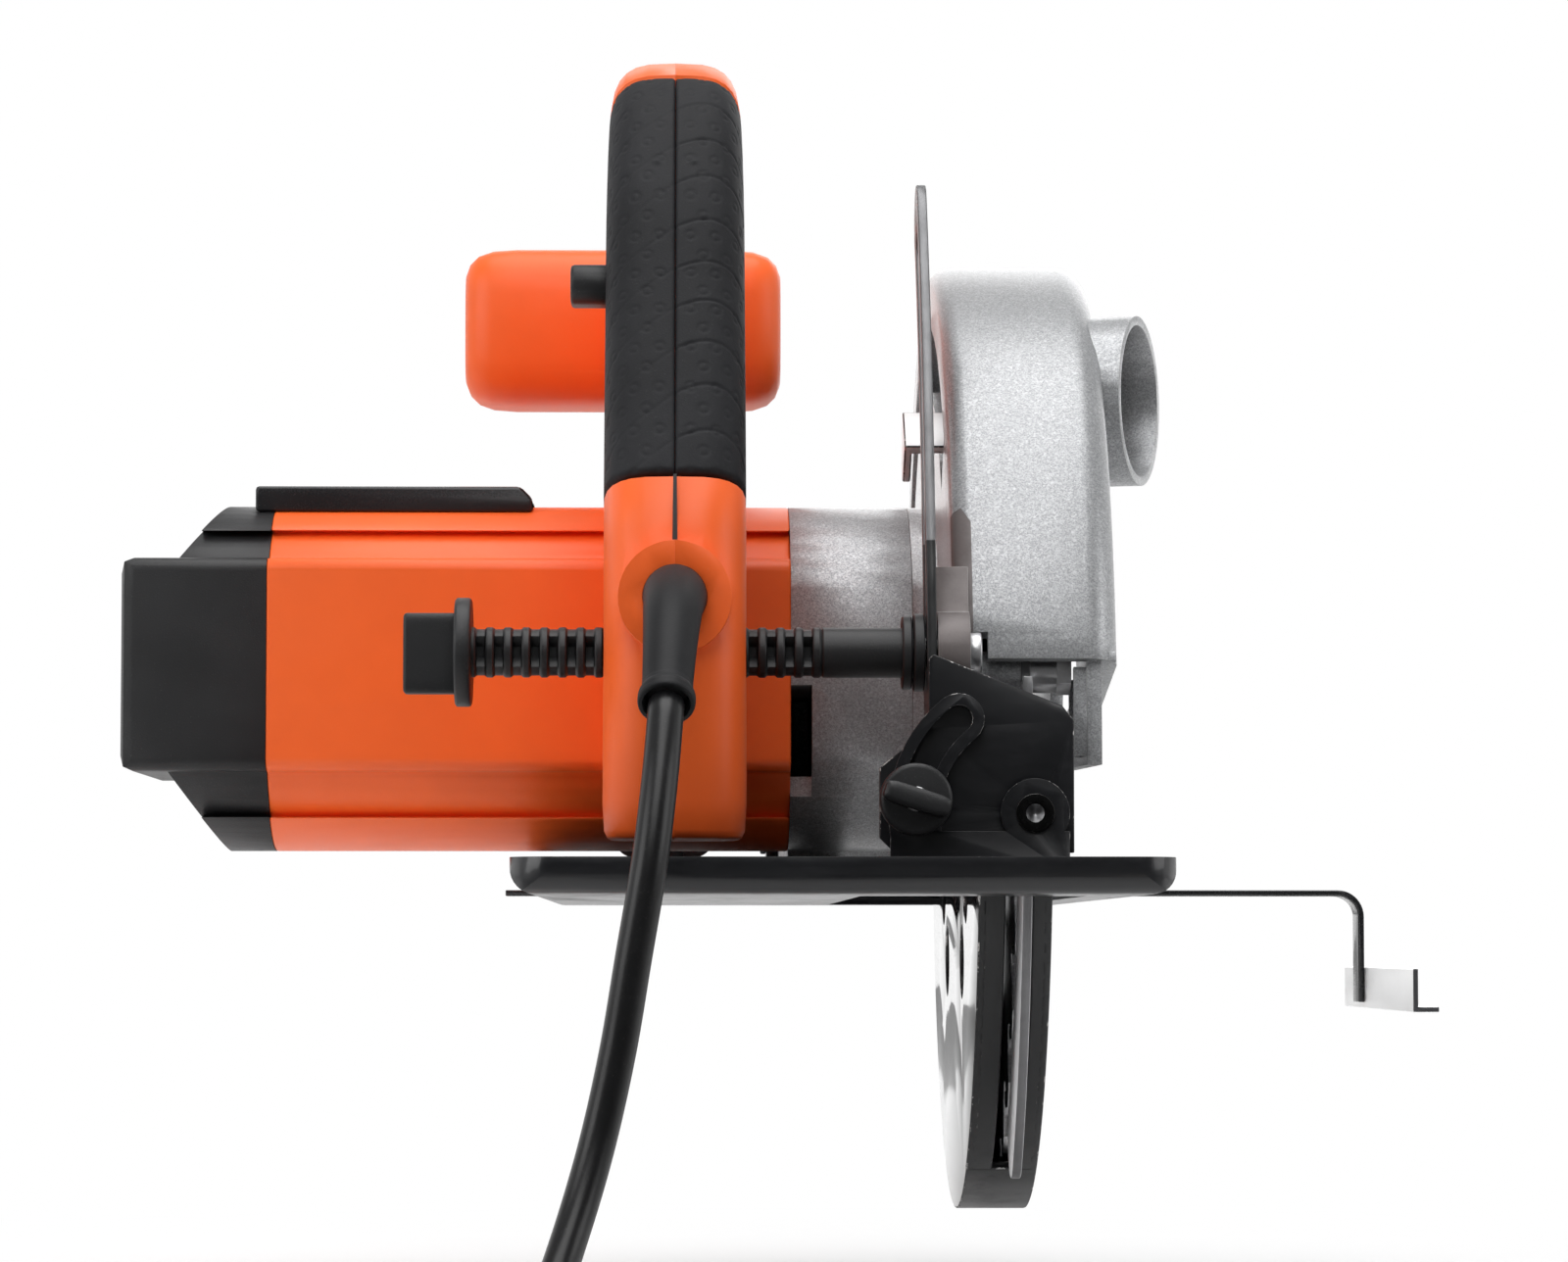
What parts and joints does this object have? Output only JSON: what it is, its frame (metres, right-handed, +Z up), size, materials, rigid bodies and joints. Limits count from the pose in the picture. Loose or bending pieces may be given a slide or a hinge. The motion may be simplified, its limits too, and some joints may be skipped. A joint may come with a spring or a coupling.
{
  "type": "circular saw",
  "caption": "Hand-held circular saw with D-handle, front handle, tilting and swinging sole frame, cast upper guard, sprung lower guard, riving knife, rip fence and mains cord.",
  "frame": {"origin": "centre of the sole, on its underside", "axes": "+X towards the blade side, +Y in the cutting direction, +Z up from the workpiece"},
  "size_m": [0.2969, 0.469, 0.2772],
  "materials": {
    "black_paint": "satin black paint, worn bright on the edges",
    "zinc_steel": "zinc plated",
    "black_plastic": "fine moulded texture",
    "orange_plastic": "fine satin moulding",
    "cast_silver": "die cast, silver lacquer with metal flake",
    "core_steel": "machined",
    "copper": "wound and varnished copper",
    "brass_holder": "pressed",
    "carbon": "sintered",
    "blade_steel": "ground",
    "carbide": "ground",
    "grip_rubber": "soft, dimpled",
    "cord_rubber": "smooth"
  },
  "bodies": {
    "shoe": {"base_plate": "black_paint", "rear_bevel_bracket": "black_paint", "front_bevel_bracket": "black_paint", "bracket_rivets": "zinc_steel", "bevel_pivots": "zinc_steel", "fence_clip": "black_paint"},
    "rip_fence": {"fence_bar": "black_paint", "fence_guide": "zinc_steel"},
    "fence_screw": {"fence_screw": "black_plastic"},
    "tilt_frame": {"rear_tilt_plate": "black_paint", "front_tilt_plate": "black_paint", "depth_quadrant": "zinc_steel", "depth_pivot_pin": "zinc_steel", "bevel_bolts": "zinc_steel"},
    "rear_bevel_knob": {"rear_bevel_knob": "black_plastic"},
    "front_bevel_knob": {"front_bevel_knob": "black_plastic"},
    "saw": {"motor_housing": "orange_plastic", "end_cap": "black_plastic", "top_cover": "black_plastic", "field_core": "core_steel", "brush_holders": "brass_holder", "carbon_brushes": "carbon", "motor_bearings": "core_steel", "gear_housing": "cast_silver", "upper_guard": "cast_silver", "arbor_bearings": "core_steel", "hub_ring": "zinc_steel", "riving_knife": "zinc_steel", "knife_bolts": "zinc_steel", "depth_bolt": "zinc_steel", "handle_left": "orange_plastic", "handle_right": "orange_plastic", "grip_left": "grip_rubber", "grip_right": "grip_rubber", "handle_screws": "zinc_steel", "front_handle": "orange_plastic", "switch_body": "black_plastic", "cord_relief": "cord_rubber", "cord": "cord_rubber", "cord_coil": "cord_rubber", "cord_tie": "black_plastic", "plug_body": "cord_rubber", "plug_pins": "brass_holder", "guard_spring": "zinc_steel"},
    "rotor": {"motor_shaft": "core_steel", "armature": "copper", "commutator": "copper", "cooling_fan": "black_plastic"},
    "arbor": {"arbor_shaft": "core_steel", "drive_gear": "core_steel", "inner_flange": "core_steel", "saw_blade": "blade_steel", "carbide_tips": "carbide", "outer_flange": "core_steel", "blade_bolt": "core_steel"},
    "lower_guard": {"lower_guard": "black_paint"},
    "trigger": {"trigger": "black_plastic"},
    "lock_off_button": {"lock_off_button": "black_plastic"},
    "spindle_lock": {"spindle_lock": "black_plastic"},
    "depth_lever": {"depth_lever": "black_plastic"}
  },
  "joints": [
    {"name": "fence_slide", "type": "slide", "parent": "shoe", "child": "rip_fence", "axis": [1, 0, 0], "range_m": [-0.055, 0.03]},
    {"name": "fence_screw_turn", "type": "hinge", "parent": "shoe", "child": "fence_screw", "pos_m": [-0.036, 0.121, 0.008], "axis": [0, 0, 1], "range_deg": [0, 180]},
    {"name": "bevel", "type": "hinge", "parent": "shoe", "child": "tilt_frame", "pos_m": [0.0395, 0, 0.0167], "axis": [0, 1, 0], "range_deg": [0, 45]},
    {"name": "rear_bevel_knob_turn", "type": "hinge", "parent": "tilt_frame", "child": "rear_bevel_knob", "pos_m": [0.01513, -0.12, 0.01926], "axis": [0, -1, 0], "range_deg": [0, 120]},
    {"name": "front_bevel_knob_turn", "type": "hinge", "parent": "tilt_frame", "child": "front_bevel_knob", "pos_m": [0.01513, 0.14, 0.01926], "axis": [0, 1, 0], "range_deg": [0, 120]},
    {"name": "depth", "type": "hinge", "parent": "tilt_frame", "child": "saw", "pos_m": [0, 0.119, 0.018], "axis": [-1, 0, 0], "range_deg": [0, 25]},
    {"name": "arbor_spin", "type": "hinge", "parent": "saw", "child": "arbor", "pos_m": [0.039, 0.015, 0.029], "axis": [1, 0, 0], "continuous": true},
    {"name": "rotor_spin", "type": "hinge", "parent": "saw", "child": "rotor", "pos_m": [-0.06, -0.00099, 0.0495], "axis": [1, 0, 0], "continuous": true},
    {"name": "lower_guard_swing", "type": "hinge", "parent": "saw", "child": "lower_guard", "pos_m": [0.039, 0.015, 0.029], "axis": [-1, 0, 0], "range_deg": [0, 95], "stiffness_Nm_per_rad": 0.5, "springref_deg": -57.3},
    {"name": "trigger_pull", "type": "hinge", "parent": "saw", "child": "trigger", "pos_m": [-0.0334, -0.05573, 0.1342], "axis": [-1, 0, 0], "range_deg": [0, 7], "stiffness_Nm_per_rad": 1, "springref_deg": -5.73},
    {"name": "lock_off_push", "type": "slide", "parent": "saw", "child": "lock_off_button", "axis": [1, 0, 0], "range_m": [0, 0.004], "stiffness_N_per_m": 300, "springref_m": -0.003},
    {"name": "spindle_lock_push", "type": "slide", "parent": "saw", "child": "spindle_lock", "axis": [1, 0, 0], "range_m": [0, 0.0045], "stiffness_N_per_m": 300, "springref_m": -0.003},
    {"name": "depth_lever_turn", "type": "hinge", "parent": "saw", "child": "depth_lever", "pos_m": [0, -0.097, 0.05], "axis": [1, 0, 0], "range_deg": [0, 90]}
  ],
  "couplings": [
    {"joint": "rotor_spin", "follows": "arbor_spin", "ratio": -4.2}
  ]
}
